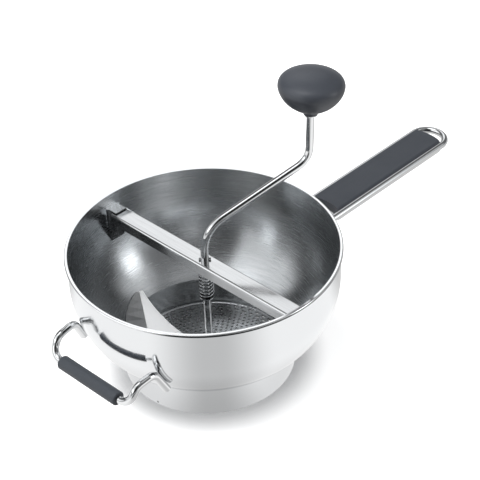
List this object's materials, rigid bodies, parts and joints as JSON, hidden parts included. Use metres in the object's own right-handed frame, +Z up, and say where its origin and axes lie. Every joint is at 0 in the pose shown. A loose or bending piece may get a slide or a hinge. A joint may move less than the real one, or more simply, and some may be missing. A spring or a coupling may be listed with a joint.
{
  "type": "rotary food mill",
  "caption": "Hand-cranked food mill: a flared bowl over a perforated disc, a sprung crossbar that holds the crank and blade, a long wire handle and a short helper handle.",
  "frame": {"origin": "on the bowl's axis, in the plane that the neck ring stands on", "axes": "+X along the long handle, +Y along the crossbar, +Z up along the crank shaft"},
  "size_m": [0.4783, 0.24, 0.2683],
  "materials": {
    "bowl_steel": "satin",
    "sheet_steel": "satin",
    "rod_steel": "polished",
    "wire_steel": "polished",
    "spring_steel": "satin",
    "dark_plastic": "matte",
    "soft_grip": "matte"
  },
  "bodies": {
    "bowl": {"bowl_shell": "bowl_steel", "bar_hook_left": "sheet_steel", "bar_hook_right": "sheet_steel", "sieve_disc": "sheet_steel", "disc_eyelet": "rod_steel", "long_handle_wire": "wire_steel", "handle_insert": "dark_plastic", "handle_tray": "sheet_steel", "handle_screws": "rod_steel", "helper_handle_wire": "wire_steel", "helper_grip": "soft_grip"},
    "bar": {"crossbar": "sheet_steel", "spring_washer_upper": "rod_steel", "tension_spring": "spring_steel"},
    "lift": {"spring_washer_lower": "rod_steel"},
    "crank": {"crank_rod": "rod_steel", "blade": "sheet_steel", "blade_hub": "rod_steel", "hub_pin": "rod_steel", "knob_washer": "rod_steel"},
    "knob": {"knob": "dark_plastic", "knob_bush": "rod_steel"}
  },
  "joints": [
    {"name": "bar_press", "type": "slide", "parent": "bowl", "child": "bar", "axis": [0, 0, 1], "range_m": [-0.004, 0], "stiffness_N_per_m": 800, "springref_m": 0.005, "deforming": ["tension_spring"]},
    {"name": "shaft_lift", "type": "slide", "parent": "bowl", "child": "lift", "axis": [0, 0, 1], "range_m": [0, 0.018], "stiffness_N_per_m": 800, "springref_m": -0.005, "deforming": ["tension_spring"]},
    {"name": "crank_turn", "type": "hinge", "parent": "lift", "child": "crank", "pos_m": [0, 0, 0], "axis": [0, 0, 1], "continuous": true},
    {"name": "knob_spin", "type": "hinge", "parent": "crank", "child": "knob", "pos_m": [0.09365, -0.03784, 0.184], "axis": [0.0324, -0.0131, 0.9994], "continuous": true}
  ]
}
